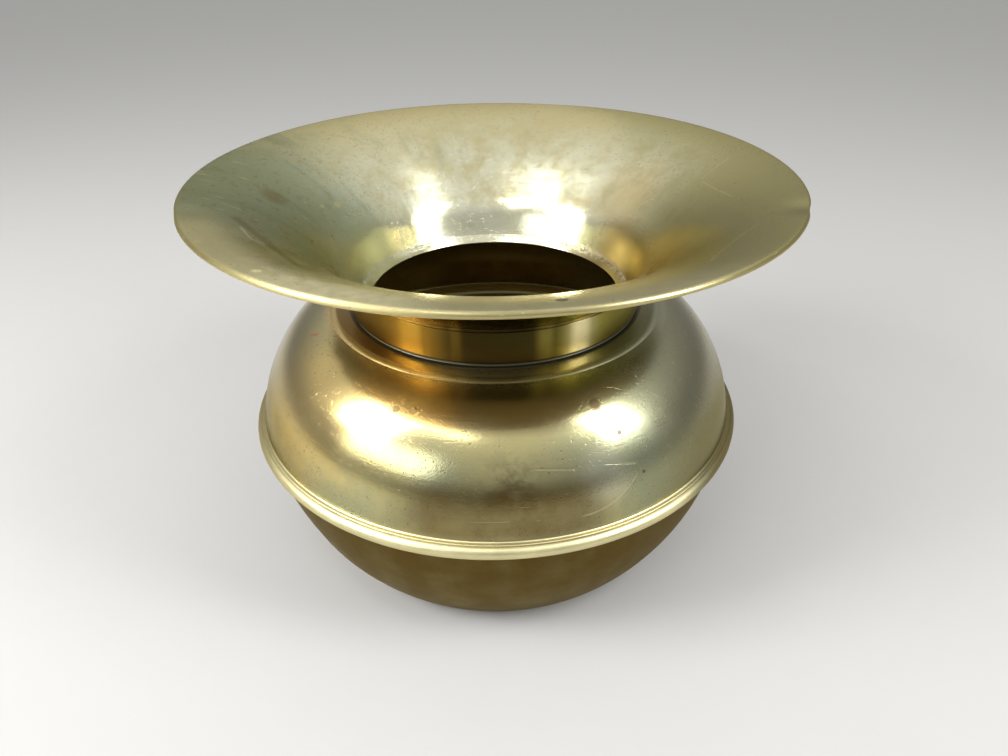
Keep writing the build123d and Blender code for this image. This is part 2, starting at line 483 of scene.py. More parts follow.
class Ground:
    """What every metal starts from: where a point is, and the soft, middle and fine noise there.

    x, y, z and radius are in millimetres. point, which the noises take, is in metres.
    """

    # Bands of the neck where its highlights fall, left free of the painted dark reflection: place, reach and
    # core as sines of the angle round, and strength
    highlight_bands = (
        (-0.50, 0.13, 0.03, 1.0),
        (-0.50, 0.26, 0.05, 0.5),
        (0.53, 0.12, 0.02, 1.0),
        (0.55, 0.22, 0.05, 0.45),
        (-0.22, 0.05, 0.01, 0.18),
        (0.31, 0.08, 0.01, 0.40),
    )
    slant_tint = (0.92, 0.86, 0.66, 1.0)  # colour of what the metal reflects at a slant
    wax_roughness = 0.25
    quarter_turn = 0.25  # turns the stretch of a highlight from round the axis to up and down

    def __init__(self, name):
        self.material = bpy.data.materials.new(name)
        self.material.use_nodes = True
        self.tree = self.material.node_tree
        start = Flow(self.tree)
        self.point = start.add("ShaderNodeTexCoord", output="Object")
        self.x = self.point.dot((1.0 / MM, 0.0, 0.0))
        self.y = self.point.dot((0.0, 1.0 / MM, 0.0))
        self.z = self.point.dot((0.0, 0.0, 1.0 / MM))
        self.radius = (self.x * self.x + self.y * self.y) ** 0.5
        self.hidden = start.add("ShaderNodeAttribute", {"attribute_name": "hidden_wall"}, output="Fac")
        self.cloud = self.point.noise(16.0, 3.0, 0.6, 0.6)
        self.patch = self.point.noise(62.0, 5.0, 0.62)
        self.uneven = self.patch - 0.5
        self.grain = self.point.noise(1100.0, 2.0, 0.6)

    def pits(self, *sorts):
        """Dark dots in cells where the patches allow them. A sort is scale, size, share and strength."""
        return most(*(
            self.point.cells(scale).smooth(size, 0.5 * size)
            * self.patch.smooth(1.0 - share, 1.06 - share)
            * strength
            for scale, size, share, strength in sorts
        ))

    def hairlines(self, turn, scale, share):
        """Fine straight scratches that run one way, in a share of the surface."""
        lines = self.point.stretched(turn, (0.03, 1.0, 1.0)).noise(scale, 1.0, 0.5)
        return lines.smooth(1.0 - share, 1.02 - share)

    def runs(self, count, length):
        """Streaks that run down a wall: noise over the direction round the axis, slow along the radius."""
        place = Flow(self.tree).add(
            "ShaderNodeCombineXYZ",
            {},
            {0: self.x / self.radius, 1: self.y / self.radius, 2: self.radius * (MM / length)},
        )
        return place.noise(count, 4.0, 0.65, 0.4)

    def spun_rings(self, count):
        """Faint rings that the spinning tool left: noise over radius and height alone."""
        section = Flow(self.tree).add("ShaderNodeCombineXYZ", {}, {0: self.radius, 1: self.z})
        return section.noise(count * MM, 2.0, 0.5)

    def spot(self, angle, radius, height, size, soft=0.35):
        """A round mark at a place, size millimetres in radius, with a slightly ragged edge."""
        size = size * MM
        distance = self.point.away_from(at(angle, radius, height)) + self.uneven * (0.5 * size)
        return distance.smooth(size, size * (1.0 - soft))

    def scratch(self, start, end, width, bend=0.0, rise=0.6):
        """A line between two places, width millimetres wide, that bends off by bend millimetres at its ends.

        A place is an angle, a radius and a height. across and along are measured in the plane of the surface
        there, which faces outward and up by rise, or inward and up if rise is negative.
        """
        start, end, width = at(*start), at(*end), width * MM
        middle, reach = (start + end) / 2.0, np.linalg.norm(end - start)
        along = (end - start) / reach
        outward = np.array([middle[0], middle[1], rise * math.hypot(middle[0], middle[1])])
        across = np.cross(outward, along)
        across /= np.linalg.norm(across)
        outward = np.cross(along, across)
        run = self.point.dot(along) - float(along @ middle)
        off = self.point.dot(across) - float(across @ middle)
        off = off - (run * run) * (4.0 * bend * MM / reach**2)
        near = abs(self.point.dot(outward) - float(outward @ middle)).smooth(16.0 * MM, 12.0 * MM)
        return abs(off).smooth(width, 0.3 * width) * abs(run).smooth(0.5 * reach, 0.38 * reach) * near

    def dark_reflection_between_bands(self):
        """Painted dark reflection on the front of the neck, between its highlight bands and thickest in the
        middle.
        """
        across = self.x / self.radius
        # Where the neck's highlights fall, which the painted dark reflection leaves off
        rubbed_and_lit = most(*(
            abs(across - place).smooth(reach, core) * strength
            for place, reach, core, strength in self.highlight_bands
        ))
        middle = abs(across - 0.02).smooth(0.75, 0.15)
        return (1.0 - rubbed_and_lit) * (0.55 + 0.45 * middle) * self.y.smooth(0.0, -30.0)

    def finish(self, base, rough, metal, height, bump_depth, turned=0.0, haze=None):
        """Joins colour, roughness, metal and bump to the material's shader.

        turned is how strongly the rings of the lathe stretch a highlight up and down the wall, and haze is
        where a thin film of wax lies on the metal.
        """
        shader = self.tree.nodes["Principled BSDF"]
        shader.inputs["Specular Tint"].default_value = self.slant_tint
        shader.inputs["Anisotropic"].default_value = turned
        shader.inputs["Anisotropic Rotation"].default_value = self.quarter_turn
        bump = Flow(self.tree).add("ShaderNodeBump", {}, {"Distance": bump_depth, "Height": height})
        flows = {"Base Color": base, "Roughness": rough, "Metallic": metal, "Normal": bump}
        if haze:
            shader.inputs["Coat Roughness"].default_value = self.wax_roughness
            flows["Coat Weight"] = haze
        for name, flow in flows.items():
            self.tree.links.new(flow.socket, shader.inputs[name])
        return self.material


def flare_folds(ground):
    """Painted shade along two folds on the left of the flare, and painted highlights on two lines beside them.
    """
    fold_shade = most(
        ground.scratch((-161.0, 117.0, 186.0), (-149.0, 108.0, 181.8), 3.5, rise=FLARE_RISE),
        ground.scratch((-154.0, 108.5, 182.0), (-129.0, 112.0, 183.8), 4.0, rise=FLARE_RISE),
    )
    lines = most(
        ground.scratch((-149.0, 111.5, 183.6), (-126.0, 115.5, 185.4), 3.0, rise=FLARE_RISE),
        ground.scratch((-155.0, 115.3, 185.3), (-147.0, 113.5, 184.5), 1.2, rise=FLARE_RISE),
    )
    return fold_shade, lines


def flare_flecks(ground, left):
    """Pale flecks and scratches on the flare, with hairlines on its left and a fork on its right."""
    fork = (12.8, 104.7, 179.9)
    return most(
        ground.spot(159.0, 86.6, 165.9, 2.2),
        ground.spot(165.8, 89.2, 168.4, 1.6),
        ground.hairlines((0.0, 0.0, 62.0), 420.0, 0.30) * left,
        ground.point.cells(170.0).smooth(0.12, 0.07) * ground.cloud.smooth(0.42, 0.58) * left,
        ground.spot(-144.3, 136.2, 191.3, 2.0),
        ground.spot(-127.8, 133.0, 190.7, 2.2),
        ground.scratch(fork, (16.1, 123.1, 188.2), 0.9, rise=FLARE_RISE),
        ground.scratch(fork, (-5.2, 110.3, 182.9), 0.7, rise=FLARE_RISE),
        ground.scratch((-50.8, 120.6, 187.4), (-25.8, 118.6, 186.6), 1.2, 3.0, rise=-2.2) * 0.5,
    )


def throat_crust(ground, lip_radius, lip_height):
    """Crumbly deposit in the corner of the throat lip, thin at its front and back."""
    corner = ground.radius.band(lip_radius - 1.5, lip_radius + 0.3, 1.0)
    corner = corner * ground.z.smooth(lip_height + 2.0, lip_height + 0.5)
    crumbs = ground.point.noise(520.0, 4.0, 0.7).smooth(0.46, 0.62)
    return corner * crumbs * (0.15 + 0.85 * abs(ground.x).smooth(20.0, 50.0))


def mouth_brass(sizes, finish):
    """Satin straw brass of the flare: olive on the left, greener on the right, scuffed and spotted."""
    ground = Ground("aged_mouth_brass")
    x, y, z, radius = ground.x, ground.y, ground.z, ground.radius
    cloud, patch, uneven = ground.cloud, ground.patch, ground.uneven
    lip_radius = (sizes.throat_radius + sizes.throat_lip_width) / MM
    lip_height = (sizes.throat_height + sizes.throat_lip_rise) / MM
    flare_edge = sizes.flare_edge / MM
    drift = (cloud - 0.5) * 0.7 + uneven * 0.5
    left = x.smooth(0.0, -115.0) * y.smooth(115.0, 10.0) * y.smooth(-85.0, -30.0)
    right = (x.smooth(20.0, 110.0) + drift).smooth(0.15, 0.85)
    olive = (left + drift).smooth(0.15, 0.95)
    film = radius.smooth(134.0, 80.0) * y.smooth(10.0, 60.0) * patch.smooth(0.25, 0.65)
    above_lip = z.smooth(lip_height - 0.5, lip_height + 1.5)
    wall = radius.smooth(76.0, 70.0) * above_lip * y.smooth(35.0, 52.0)
    streaks = ground.runs(9.0, 0.9)
    smudge = streaks.smooth(0.50, 0.68) * (0.10 + 0.90 * left) * cloud.smooth(0.35, 0.6)
    green = (cloud + (streaks - 0.5) * 0.5).smooth(0.50, 0.72) * x.smooth(0.0, -50.0)
    mottle = ground.point.noise(210.0, 6.0, 0.72)
    fold_shade, lines = flare_folds(ground)
    edge = radius.smooth(114.0, 130.0) * y.smooth(-30.0, -70.0) * x.smooth(0.0, -40.0)
    side = radius.smooth(81.0, 70.0) * y.smooth(50.0, 30.0)
    front = radius.smooth(112.0, 128.0) * y.smooth(-90.0, -120.0)
    crust = throat_crust(ground, lip_radius, lip_height)
    pits = ground.pits((330.0, 0.15, 0.52, 1.0), (140.0, 0.055, 0.55, 1.0), (600.0, 0.18, 0.56, 0.7))
    pale = flare_flecks(ground, left)
    dark = ground.spot(-79.4, 129.0, 190.0, 2.8)
    roll = radius.smooth(flare_edge - 0.3, flare_edge + 1.3)
    polished = ground.hidden * radius.smooth(96.0, 84.0)
    neck = x.smooth(-30.0, 40.0).between(finish.amber, finish.citron)
    neck = neck.tint(y.smooth(-30.0, 20.0), finish.gold)
    base = painted(
        olive.between(finish.straw, finish.olive),
        (right, 0.8, finish.moss),
        (film, 0.80, finish.film),
        # Painted highlight on the steep wall above the throat, in the film's pale colour
        (wall, 0.65 + 0.4 * uneven, finish.film),
        (smudge, 0.45, finish.umber),
        (green, 0.4, finish.verdigris),
        (left, 0.35, finish.verdigris),
        (mottle.smooth(0.50, 0.66) * (0.1 + left), 0.45, finish.verdigris),
        (mottle.smooth(0.47, 0.34) * (0.3 + left), 0.28, finish.umber),
        (ground.spot(158.0, 76.0, 156.0, 30.0, 0.9), 0.5, finish.verdigris),
        (ground.spot(178.0, 104.0, 179.5, 9.0, 0.8), 0.45, finish.umber),
        # Painted shade in the folds, and painted highlights beside them
        (fold_shade, 0.45, finish.umber),
        (lines, 0.5, finish.film),
        # Worn brass, and a painted highlight where the front left of the rim catches the light
        (edge, 0.7, finish.worn),
        (side, 0.8, x.smooth(-20.0, 20.0).between(finish.olive, finish.umber)),
        # Painted warm reflection on the right of the flare, by the throat
        (ground.spot(-6.0, 76.0, 155.0, 24.0, 0.9), 0.25, finish.amber),
        (ground.spot(-27.0, 87.0, 166.0, 34.0, 0.9), 0.85, finish.worn),
        # Worn brass, and a painted highlight along the front of the rim
        (front, 0.45, finish.worn),
        (front, 0.2, finish.film),
        (ground.spot(34.0, 86.0, 165.0, 32.0, 0.9) * patch.smooth(0.3, 0.6), 0.4, finish.amber),
        (ground.spot(-19.0, 76.0, 154.0, 30.0, 0.9) * patch.smooth(0.35, 0.65), 0.5, finish.amber),
        (crust, 0.5, finish.deposit),
        (pits, 0.6, finish.umber),
        (pale, 0.55, finish.straw),
        (dark, 0.92, finish.grime),
        # Painted dark reflection: the outside of the rolled rim made gold and browner
        (roll, 0.7, finish.gold),
        (roll, 0.25, finish.umber),
        (ground.hidden, 0.75, finish.umber),
        (polished, 1.0, neck),
        # Painted dark reflection on the underside by the neck, as on the neck
        (polished * ground.dark_reflection_between_bands(), 0.95, finish.smoke_and_dark_reflection),
    )
    rough = 0.17 + 0.13 * olive + 0.10 * uneven + 0.05 * ground.grain + 0.20 * (mottle - 0.5)
    rough = rough + 0.4 * crust + 0.14 * pale + 0.20 * side + 0.14 * edge + 0.15 * roll - 0.08 * polished
    metal = 1.0 - 0.75 * crust - 0.35 * dark
    height = 0.25 * ground.grain + 0.5 * ground.spun_rings(320.0) + 0.6 * patch + 0.6 * mottle * left
    height = height + 0.8 * crust - 0.8 * pits
    return ground.finish(base, rough, metal, height, 0.12 * MM, 0.75)


def bowl_spots(ground):
    """Dark spots on the front of the shoulder."""
    return most(
        ground.spot(-60.7, 106.9, 111.6, 1.2),
        ground.spot(-114.4, 97.7, 120.8, 2.2, 0.5) * 0.75,
        ground.spot(-64.2, 96.6, 121.6, 3.6, 0.5) * 0.8,
        ground.spot(-57.0, 116.4, 94.3, 1.0, 0.5) * 0.8,
        ground.spot(-109.4, 95.7, 122.2, 1.0, 0.5) * 0.7,
    )


def bowl_scratches(ground):
    """Pale scratches on the front of the shoulder, and hairlines all over."""
    return most(
        ground.scratch((-81.6, 111.7, 105.9), (-72.2, 113.0, 103.6), 0.6),
        ground.scratch((-66.5, 113.2, 103.3), (-58.0, 115.4, 99.0), 0.6),
        ground.scratch((-71.9, 120.4, 80.1), (-57.5, 117.8, 91.8), 0.7, 4.0),
        ground.hairlines((20.0, 35.0, 10.0), 500.0, 0.27) * 0.5,
    )


def bowl_brass(sizes, finish):
    """Satin olive-gold brass of the bowl: worn bright on its bead, brown low down and inside, and pitted.
    Painted shade and painted reflections lie on its sides, front, crown and lower bowl, and painted highlights
    on its bead, inner lip and foot.
    """
    ground = Ground("aged_bowl_brass")
    x, z, radius, hidden = ground.x, ground.z, ground.radius, ground.hidden
    patch, uneven = ground.patch, ground.uneven
    ledge_height = sizes.ledge_height / MM
    neck_radius = sizes.neck_radius / MM
    ridge_radius = neck_radius + sizes.ledge_width / MM
    bead_top = sizes.bead_top / MM
    bead_bottom = bead_top - 2.0 * sizes.bead_radius / MM
    bead_centre = (sizes.bead_reach - sizes.bead_radius) / MM
    foot_radius = sizes.foot_radius / MM
    drift = (ground.cloud - 0.5) * 0.9 + uneven * 0.6
    waist = z.smooth(106.0, 80.0) * 0.45
    olive = (x.smooth(20.0, 90.0).at_least(waist) + drift + 0.20).smooth(0.1, 0.9)
    to_right = x.smooth(0.0, 40.0)
    shaded_far_right = x.smooth(45.0, 95.0)
    shaded_far_left = x.smooth(-72.0, -102.0)
    reflection_under_ridge = z.band(ledge_height - 11.0, ledge_height - 3.0, 4.0)
    ridge = z.smooth(ledge_height - 3.0, ledge_height - 1.0)
    ridge = ridge * radius.smooth(ridge_radius - 1.0, ridge_radius + 1.0)
    ledge_level = z.smooth(ledge_height - 1.5, ledge_height - 0.5)
    ledge = ledge_level * radius.band(neck_radius + 0.8, ridge_radius, 1.0)
    ledge_right = ledge.at_least(ridge * 0.7) * x.smooth(30.0, 60.0)
    # Painted dark reflection on the front of the shoulder: a patch, and an uneven band low down
    front_dark_reflection = ground.spot(-86.0, 115.0, 98.0, 20.0, 0.8) * patch.smooth(0.40, 0.60)
    skirt = z.band(80.0, 95.0, 8.0) * abs(x - 4.0).smooth(60.0, 25.0)
    low = z.smooth(bead_bottom + 0.6, bead_bottom - 0.4)
    pits = ground.pits((340.0, 0.17, 0.56, 1.0), (130.0, 0.06, 0.58, 1.0), (620.0, 0.20, 0.62, 0.8))
    dark = bowl_spots(ground)
    pale = bowl_scratches(ground) * (1.0 - low)
    mark = ground.scratch((-157.5, 90.0, 126.4), (-160.5, 93.5, 124.4), 1.4)
    bead = z.band(bead_bottom + 0.6, bead_top + 1.0, 0.6)
    bead = bead * radius.smooth(bead_centre - 1.9, bead_centre - 0.9)
    rubbed_and_lit = bead * (1.0 - 0.9 * x.smooth(80.0, 106.0)) * (1.0 - 0.4 * x.smooth(-85.0, -118.0))
    dull_and_shaded_bead = bead - rubbed_and_lit
    drips = (ground.runs(7.0, 0.5) - 0.5) * 0.35 + uneven * 0.45
    neck_joint_grime_and_shade = radius.smooth(neck_radius + 2.0, neck_radius + 0.6) * ledge_level
    crevice = z.band(bead_top - 0.2, bead_top + 0.2, 0.4)
    crevice = crevice * radius.smooth(bead_centre - 0.5, bead_centre + 0.3)
    soot_and_shade = neck_joint_grime_and_shade.at_least(crevice * patch.smooth(0.40, 0.65) * 0.4)
    inner_lip_highlight = hidden * z.band(bead_top - 0.7, sizes.lip_top / MM + 0.6, 0.5)
    foot_edge_highlight = radius.smooth(foot_radius - 1.5, foot_radius + 2.5)
    foot_edge_highlight = foot_edge_highlight * z.smooth(4.5, 2.0) * patch.smooth(0.3, 0.6)
    base = painted(
        olive.between(finish.gold, finish.olive),
        # Painted shade: the shoulder darker towards its sides, greener on the right
        (shaded_far_right, 0.5, finish.verdigris),
        (shaded_far_right, 0.55, finish.umber),
        (shaded_far_left, 0.5, finish.umber),
        # Painted reflection: a warm amber patch high on the left of the shoulder
        (ground.spot(-138.0, 103.0, 114.0, 55.0, 0.9), 0.6, finish.amber),
        # Painted reflection under the ridge: amber on the left, dark brown in the middle
        (reflection_under_ridge, x.band(-50.0, -22.0, 16.0), finish.amber),
        (reflection_under_ridge * abs(x - 10.0).smooth(44.0, 18.0), 0.62, finish.umber),
        (ground.spot(-64.0, 110.0, 106.0, 36.0, 0.9), 0.35, finish.verdigris),
        # Painted highlight: a pale patch beside the right highlight. Painted shade: a greener patch that dims
        # the lower tail of the left highlight
        (ground.spot(-66.5, 115.0, 98.0, 18.0, 0.9), 0.55, finish.film),
        (ground.spot(-102.0, 112.0, 103.0, 18.0, 0.9), 0.45, finish.verdigris),
        (ridge, 0.40, finish.worn),
        (ridge * x.smooth(-20.0, -35.0), 0.8, finish.amber),
        (ledge, 0.7, finish.worn),
        (ledge * x.smooth(-20.0, -50.0), 0.85, finish.honey),
        (ledge_right, 0.9, finish.verdigris),
        (ledge_right, 0.45, finish.umber),
        # Painted dark reflection on the front of the shoulder: a patch, and an uneven band low down
        (front_dark_reflection, 0.75, finish.umber),
        (skirt, 0.72 + 0.6 * uneven, finish.umber),
        (pits, 0.62, finish.umber),
        (dark, 1.0, finish.umber),
        (dark, 0.6, finish.smoke_and_dark_reflection),
        (pale, 0.4, finish.straw),
        (mark, 0.8, finish.copper),
        # The bead: rubbed bright with a painted highlight along its front, and tarnish and painted shade
        # towards its sides
        (rubbed_and_lit, 0.85 + 0.7 * uneven, finish.worn),
        (dull_and_shaded_bead, 0.85, to_right.between(finish.umber, finish.verdigris)),
        (dull_and_shaded_bead * to_right, 0.8, finish.umber),
        # Lower bowl: umber tarnish with drips, and blackish on the outside. Both are also painted shade and
        # painted dark reflection below the bead
        (low, (0.96 + drips).at_most(1.0), finish.umber),
        (low * (1.0 - hidden), 0.40, finish.smoke_and_dark_reflection),
        # Grime in the crevice over the bead, and grime and painted shade in the recess round the neck's foot
        (soot_and_shade, 0.85, finish.grime),
        (hidden, 0.10, finish.umber),
        # Painted highlight on the lip inside the bowl
        (inner_lip_highlight, 0.75, finish.worn),
        # Painted highlight along the edge of the foot
        (foot_edge_highlight, 0.5, finish.straw),
    )
    rough = 0.17 + 0.09 * olive + 0.10 * uneven + 0.05 * ground.grain + 0.19 * low + 0.3 * soot_and_shade
    rough = rough + 0.1 * hidden + 0.12 * dark + 0.16 * bead + 0.15 * ledge + 0.1 * ridge
    metal = 1.0 - 0.25 * dark
    height = 0.25 * ground.grain + 0.4 * ground.spun_rings(260.0) + 0.6 * patch - 0.3 * pits - 0.3 * pale
    return ground.finish(base, rough, metal, height, 0.12 * MM, haze=z.smooth(92.0, 108.0))


def neck_brass(sizes, finish):
    """Smoother, more golden brass of the neck, with painted dark reflection on its front, a painted highlight
    band on its right, painted shade lower down, and grime and painted shade at its foot.
    """
    ground = Ground("golden_neck_brass")
    worn = ((ground.cloud - 0.5) * 0.8 + ground.uneven * 0.6 + 0.3).smooth(0.1, 0.9)
    to_right = ground.x.smooth(-30.0, 40.0)
    right_highlight_band = abs(ground.x / ground.radius - 0.53).smooth(0.14, 0.02)
    pits = ground.pits((360.0, 0.14, 0.5, 1.0))
    neck_foot = sizes.neck_foot / MM
    foot = (ground.z + ground.uneven * 0.8).smooth(neck_foot + 1.0, neck_foot + 0.3)
    base = painted(
        (worn * 0.2 + to_right * 0.8).between(finish.honey, finish.citron),
        (ground.y.smooth(-30.0, 20.0), 0.9, finish.gold),
        # Painted highlight: a pale upright band on the right of the neck
        (right_highlight_band, 0.95, finish.straw),
        # Painted dark reflection on the front of the neck, between its highlight bands
        (ground.dark_reflection_between_bands(), 0.95, finish.smoke_and_dark_reflection),
        # Painted shade: the neck darker towards its foot
        (ground.z.smooth(142.0, 134.0), 0.25, finish.umber),
        (pits, 0.5, finish.umber),
        # Grime and painted shade in the recess at the neck's foot
        (foot, 0.9, finish.grime),
        (ground.hidden, 0.6, finish.umber),
    )
    drawn = ground.point.stretched((0.0, 0.0, 0.0), (1.0, 1.0, 0.08)).noise(420.0, 2.0, 0.5)
    rough = 0.30 + 0.08 * worn + 0.06 * (drawn - 0.5) + 0.25 * foot
    metal = 1.0 - 0.1 * foot
    height = 0.5 * drawn + 0.2 * ground.grain - 0.6 * pits
    return ground.finish(base, rough, metal, height, 0.08 * MM, 0.92)


def seam_solder(finish):
    """Yellowed soft solder with a lumpy skin and dirt in its hollows."""
    ground = Ground("dull_solder")
    lumps = ground.point.noise(340.0, 3.0, 0.6)
    base = (lumps.smooth(0.55, 0.30) * 0.4).between(finish.solder, finish.umber)
    # Painted dark reflection on the front of the seam, as on the neck
    base = base.tint(ground.dark_reflection_between_bands() * 0.95, finish.smoke_and_dark_reflection)
    rough = 0.38 + 0.15 * ground.uneven + 0.1 * ground.grain
    metal = 0.95 + 0.05 * ground.patch
    return ground.finish(base, rough, metal, lumps + 0.3 * ground.grain, 0.08 * MM)


def drawn_wire(finish):
    """Drawn wire with rust freckles, hidden in the rolled rim."""
    ground = Ground("drawn_wire")
    rust = ground.patch.smooth(0.52, 0.66)
    base = (rust * 0.7).between(finish.steel, finish.umber)
    rough = 0.35 + 0.3 * rust
    metal = 1.0 - 0.5 * rust
    return ground.finish(base, rough, metal, ground.grain, 0.05 * MM)


# Pieces


def bowl_sway(angles, radius, height):
    """Slow unevenness of spun sheet: two waves round the axis that shift with height, none on the foot."""
    free = np.clip((height - 4.0 * MM) / (20.0 * MM), 0.0, 1.0)
    wide = np.sin(3.0 * angles + 22.0 * height)
    narrow = np.sin(7.0 * angles - 60.0 * height)
    return 0.10 * MM * free * (wide + 0.6 * narrow)


def shoulder_sway(angles, radius, height):
    """Slow unevenness of the shoulder, fading to nothing at the waist and at the ledge."""
    above_waist = np.clip((height - 77.0 * MM) / (10.0 * MM), 0.0, 1.0)
    below_ledge = np.clip((127.0 * MM - height) / (8.0 * MM), 0.0, 1.0)
    wide = np.sin(4.0 * angles + 45.0 * height)
    narrow = np.sin(9.0 * angles - 110.0 * height)
    return 0.11 * MM * above_waist * below_ledge * (wide + 0.7 * narrow)


def mouth_sway(angles, radius, height):
    """Slow unevenness of the flare, growing from the neck to the rim."""
    free = np.clip((radius - 74.0 * MM) / (40.0 * MM), 0.0, 1.0)
    return 0.16 * MM * free * (np.sin(2.0 * angles + 0.7) + 0.6 * np.sin(5.0 * angles + 30.0 * radius))


class BuildLowerBowl(bpy.types.Operator):
    """Spins the lower bowl: recessed base, flared wall, hollow bead and lip"""

    bl_idname = "spittoon.lower_bowl"
    bl_label = "Lower bowl"
    segments = 224
    dents = (
        Dent(-140.0, 112.0, 40.0, 16.0, 0.5),
        Dent(-52.0, 108.0, 33.0, 12.0, 0.35),
        Dent(60.0, 114.0, 48.0, 20.0, 0.7),
    )

    def execute(self, context):
        sizes = context.scene.spittoon_sizes
        ring_inside = sizes.foot_radius - sizes.foot_width
        bead_centre = sizes.bead_reach - sizes.bead_radius
        waist = (bead_centre - sizes.bead_step, sizes.bead_top - 2.0 * sizes.bead_radius)
        slope = math.degrees(sizes.wall_start)
        corner = arc_from((sizes.foot_radius, 0.0), 0.0, sizes.base_rounding, slope, steps=8)
        wall = arc_to(corner[-1], slope, waist, steps=28)
        bead = arc_from((bead_centre, waist[1]), 0.0, sizes.bead_radius, 180.0, steps=18)
        lip_foot = bead_centre - sizes.skirt_setback - sizes.sheet - sizes.lap
        lip_lean = math.tan(sizes.skirt_lean) * (sizes.lip_top - sizes.bead_top)
        path = joined(
            (0.0, sizes.recess_height),
            (0.5 * ring_inside, sizes.recess_height),
            (ring_inside - sizes.recess_slope, sizes.recess_height),
            (ring_inside, 0.0),
            corner,
            wall,
            bead,
            (lip_foot, sizes.bead_top),
            (lip_foot - lip_lean, sizes.lip_top),
        )
        section = sheet_section(softened(path, sizes.edge_rounding), sizes.sheet)
        points = carried_round(section, self.segments, bowl_sway, self.dents)
        material = bowl_brass(sizes, context.scene.spittoon_finish)
        place_piece("bowl_lower_shell", points, section, material, "bowl", "lower_bowl")
        return {"FINISHED"}


class BuildShoulder(bpy.types.Operator):
    """Spins the shoulder: edge over the bead, skirt, crown, ridge, ledge and collar"""

    bl_idname = "spittoon.shoulder"
    bl_label = "Shoulder"
    segments = 224
    dents = (
        Dent(-141.0, 95.0, 124.0, 9.0, 0.35),
        Dent(-100.0, 117.0, 92.0, 10.0, 0.25),
        Dent(115.0, 108.0, 112.0, 14.0, 0.6),
    )

    def execute(self, context):
        sizes = context.scene.spittoon_sizes
        bead_centre = sizes.bead_reach - sizes.bead_radius
        skirt_radius = bead_centre - sizes.skirt_setback
        edge_height = sizes.bead_top + sizes.sheet
        skirt_start = (skirt_radius + sizes.skirt_rounding, edge_height)
        lean, turn = math.degrees(sizes.skirt_lean), math.degrees(sizes.side_turn)
        skirt = arc_from(skirt_start, 180.0, sizes.skirt_rounding, lean - 90.0, steps=6)
        side = arc_from(skirt[-1], 90.0 + lean, sizes.side_radius, turn, steps=14)
        ridge_start = (sizes.neck_radius + sizes.ledge_width, sizes.ledge_height)
        ridge_turn = -math.degrees(sizes.ridge_turn)
        ridge = arc_from(ridge_start, 0.0, sizes.ridge_rounding, ridge_turn, steps=8)[::-1]
        crown = arc_to(side[-1], 90.0 + lean + turn, ridge[0], steps=26)
        collar_radius = sizes.neck_radius - sizes.sheet - sizes.slip
        path = joined(
            (sizes.skirt_edge, edge_height),
            skirt,
            side,
            crown,
            ridge,
            (0.5 * (ridge_start[0] + collar_radius), sizes.ledge_height),
            (collar_radius, sizes.ledge_height),
            (collar_radius, sizes.collar_top),
        )
        section = sheet_section(softened(path, sizes.edge_rounding), sizes.sheet)
        points = carried_round(section, self.segments, shoulder_sway, self.dents)
        material = bpy.data.materials.get("aged_bowl_brass")
        material = material or bowl_brass(sizes, context.scene.spittoon_finish)
        place_piece("bowl_shoulder_shell", points, section, material, "bowl", "shoulder_shell")
        return {"FINISHED"}


def heading_vector(angle):
    """Unit vector (across, up) that rises at an angle in radians."""
    return np.array([math.cos(angle), math.sin(angle)])


def mouth_bend(sizes):
    """Start of the bend above the throat wall, and the end of the straight part of the flare."""
    wall_run, flare_run = heading_vector(sizes.throat_slope), heading_vector(sizes.flare_slope)
    lip_corner = np.array([sizes.throat_radius, sizes.throat_height])
    lip_corner += (sizes.throat_lip_width, sizes.throat_lip_rise)
    corner = lip_corner + wall_run * sizes.throat_wall
    tangent = sizes.bend_radius * math.tan((sizes.throat_slope - sizes.flare_slope) / 2.0)
    return corner - wall_run * tangent, corner + flare_run * sizes.flare_straight


def point_under_bend(sizes, radius):
    """Point under the bend at a radius: its centre's height plus the upright side of a right triangle."""
    start, _ = mouth_bend(sizes)
    centre = start + sizes.bend_radius * heading_vector(sizes.throat_slope - math.pi / 2.0)
    reach = sizes.bend_radius - sizes.sheet - sizes.seam_room
    return np.array([radius, centre[1] + math.sqrt(reach**2 - (radius - centre[0]) ** 2)])


